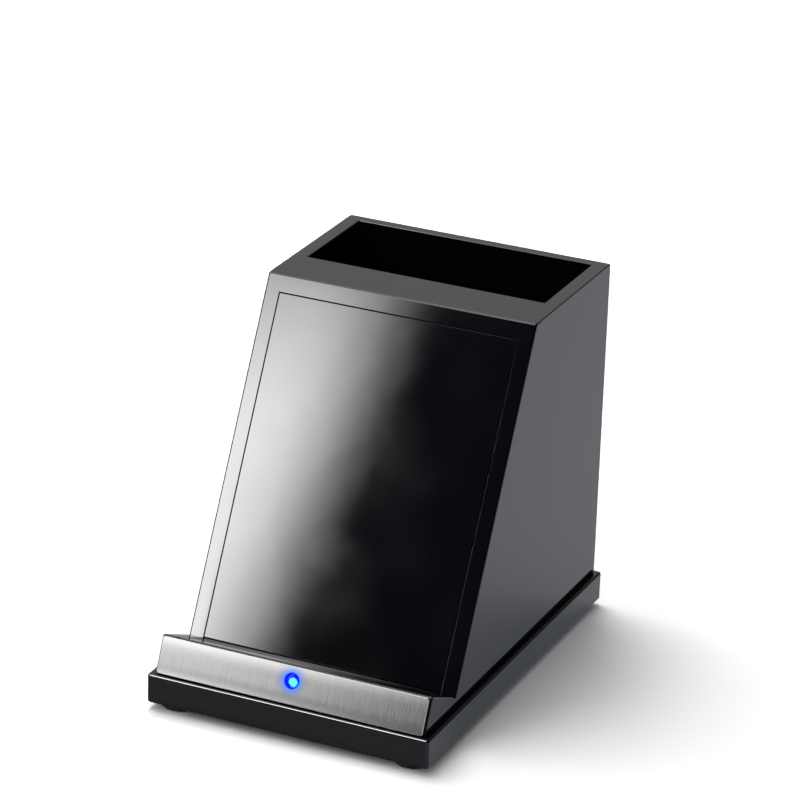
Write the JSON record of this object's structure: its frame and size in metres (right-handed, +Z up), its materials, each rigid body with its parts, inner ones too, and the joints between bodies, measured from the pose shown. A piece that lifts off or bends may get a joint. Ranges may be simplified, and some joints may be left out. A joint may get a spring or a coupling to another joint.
{
  "type": "wireless charger pen holder",
  "caption": "Black lacquered desk stand with a slanted wireless charging face behind a steel-faced lip with a status light, and an open pen bay at the back.",
  "frame": {"origin": "on the ground under the middle of the base board, at the bottoms of the feet", "axes": "+Z up, -Y towards the front lip with the status light, +X to the right seen from the front"},
  "size_m": [0.095, 0.136, 0.1191],
  "materials": {
    "black_lacquer": "high gloss black lacquer over board, grain filled",
    "bare_wood": "sawn and unfinished",
    "black_felt": "pressed felt",
    "brushed_steel": "fine brushing across the strip's height, satin",
    "blue_lens": "clear tinted lens, lit from behind",
    "black_rubber": "matte moulded rubber",
    "enamelled_copper": "copper wire with clear enamel",
    "grey_ferrite": "sintered, matte",
    "tray_plastic": "moulded, matte",
    "green_laminate": "circuit board with solder mask, satin",
    "chip_plastic": "moulded epoxy, matte",
    "light_chip_white": "moulded, matte",
    "tan_ceramic": "fired, satin",
    "can_aluminium": "drawn can, satin",
    "bright_tin": "tin plated sheet steel, bright",
    "screw_zinc": "zinc plated",
    "red_lead": "insulated wire",
    "black_lead": "insulated wire"
  },
  "bodies": {
    "root": {"base_board": "black_lacquer", "base_screw_front_left": "screw_zinc", "base_screw_front_right": "screw_zinc", "base_screw_rear_left": "screw_zinc", "base_screw_rear_right": "screw_zinc", "bay_floor": "black_lacquer", "bay_liner": "black_felt", "bay_wall": "black_lacquer", "board_screw_high_left": "screw_zinc", "board_screw_high_right": "screw_zinc", "board_screw_low_left": "screw_zinc", "board_screw_low_right": "screw_zinc", "bridge_chip_lower": "chip_plastic", "bridge_chip_upper": "chip_plastic", "charger_board": "green_laminate", "charging_coil": "enamelled_copper", "charging_panel": "black_lacquer", "coil_tray": "tray_plastic", "control_chip": "chip_plastic", "ferrite_disc": "grey_ferrite", "foot_front_left": "black_rubber", "foot_front_right": "black_rubber", "foot_rear_left": "black_rubber", "foot_rear_right": "black_rubber", "glue_block_front_left": "bare_wood", "glue_block_front_right": "bare_wood", "glue_block_rear_left": "bare_wood", "glue_block_rear_right": "bare_wood", "inlet_board": "green_laminate", "inlet_bracket": "tray_plastic", "inlet_screw_left": "screw_zinc", "inlet_screw_right": "screw_zinc", "inlet_shell": "bright_tin", "inlet_tongue": "chip_plastic", "input_capacitor": "can_aluminium", "left_cleat": "bare_wood", "left_side_panel": "black_lacquer", "light_board": "green_laminate", "light_chip": "light_chip_white", "light_lead_minus": "black_lead", "light_lead_plus": "red_lead", "light_lens": "blue_lens", "lip_bar": "black_lacquer", "power_inductor": "grey_ferrite", "power_lead_minus": "black_lead", "power_lead_plus": "red_lead", "rear_panel": "black_lacquer", "resonance_capacitor_1": "tan_ceramic", "resonance_capacitor_2": "tan_ceramic", "resonance_capacitor_3": "tan_ceramic", "resonance_capacitor_4": "tan_ceramic", "right_cleat": "bare_wood", "right_side_panel": "black_lacquer", "steel_strip": "brushed_steel", "top_rail": "black_lacquer", "tray_screw_high_left": "screw_zinc", "tray_screw_high_right": "screw_zinc", "tray_screw_low_left": "screw_zinc", "tray_screw_low_right": "screw_zinc"}
  },
  "joints": []
}
